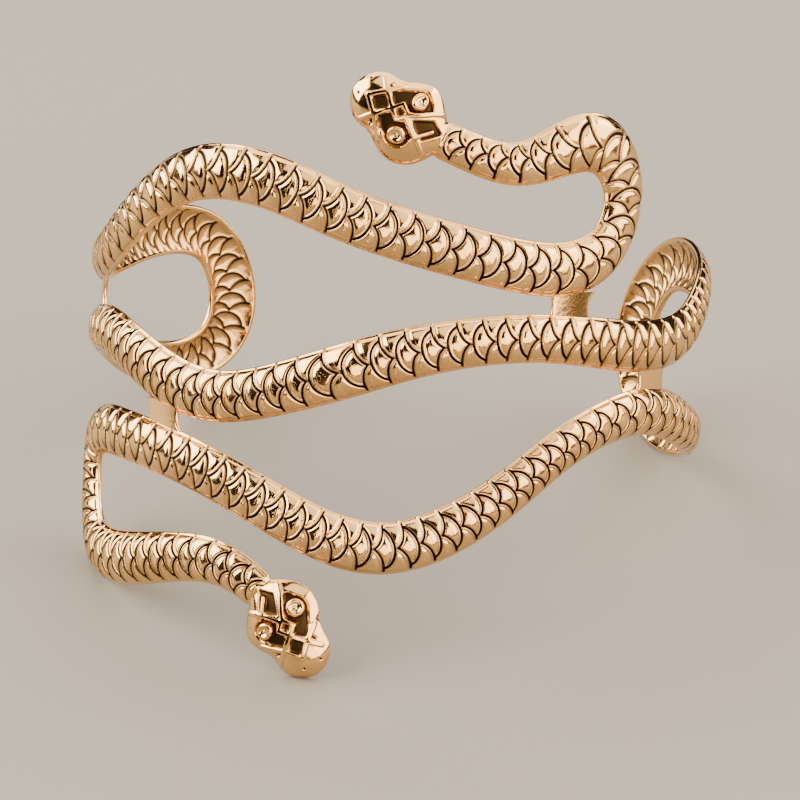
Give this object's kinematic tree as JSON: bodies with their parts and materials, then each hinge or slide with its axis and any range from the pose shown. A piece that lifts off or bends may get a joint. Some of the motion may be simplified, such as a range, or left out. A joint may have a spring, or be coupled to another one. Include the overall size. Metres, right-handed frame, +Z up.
{
  "type": "upper arm cuff",
  "caption": "Open oval arm cuff: one scaled snake-like band folded back and forth round the arm, with a head at each end.",
  "frame": {"origin": "centre of the plan outline, on the surface that the cuff rests on", "axes": "+Z up; the cuff's front, with the bands and the two heads, faces -Y; +X to the right seen from the front; the arm's way in is at the back, +Y"},
  "size_m": [0.0824, 0.08, 0.0686],
  "materials": {
    "gold_alloy": "polished, dark in the recesses"
  },
  "bodies": {
    "root": {"cuff": "gold_alloy"}
  },
  "joints": []
}
